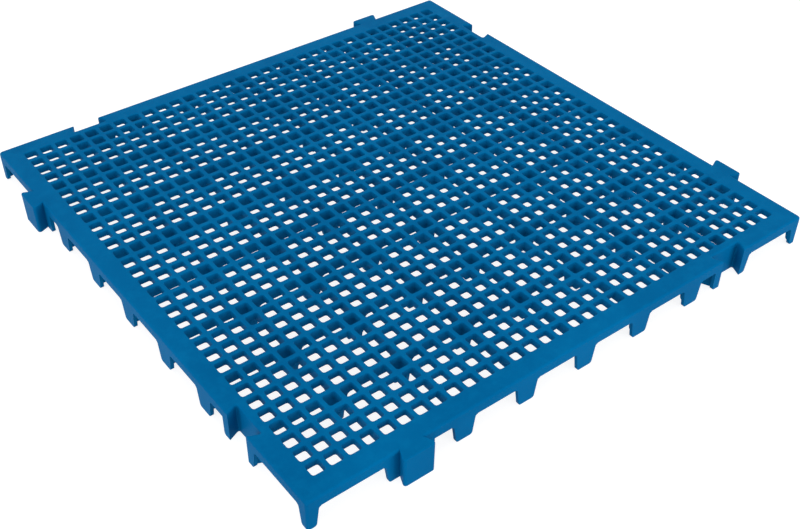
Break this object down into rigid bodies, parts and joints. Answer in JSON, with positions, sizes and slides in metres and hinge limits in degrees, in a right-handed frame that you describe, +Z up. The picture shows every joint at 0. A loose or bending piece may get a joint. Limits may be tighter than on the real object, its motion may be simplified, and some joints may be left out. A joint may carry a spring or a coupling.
{
  "type": "interlocking grate floor tile",
  "caption": "Square blue plastic drainage floor tile: a fine square grate on ribs and short legs, with a dovetail tab and notch on each side to join its neighbours.",
  "frame": {"origin": "on the floor under the middle of the tile", "axes": "+Z up from the floor to the walking face; +X and +Y along the sides, which are alike at every quarter turn"},
  "size_m": [0.5192, 0.5192, 0.027],
  "materials": {
    "moulded_plastic": "satin moulded polypropylene, plain blue"
  },
  "bodies": {
    "root": {"grate_quarter_ne": "moulded_plastic", "grate_quarter_nw": "moulded_plastic", "grate_quarter_sw": "moulded_plastic", "grate_quarter_se": "moulded_plastic"}
  },
  "joints": []
}
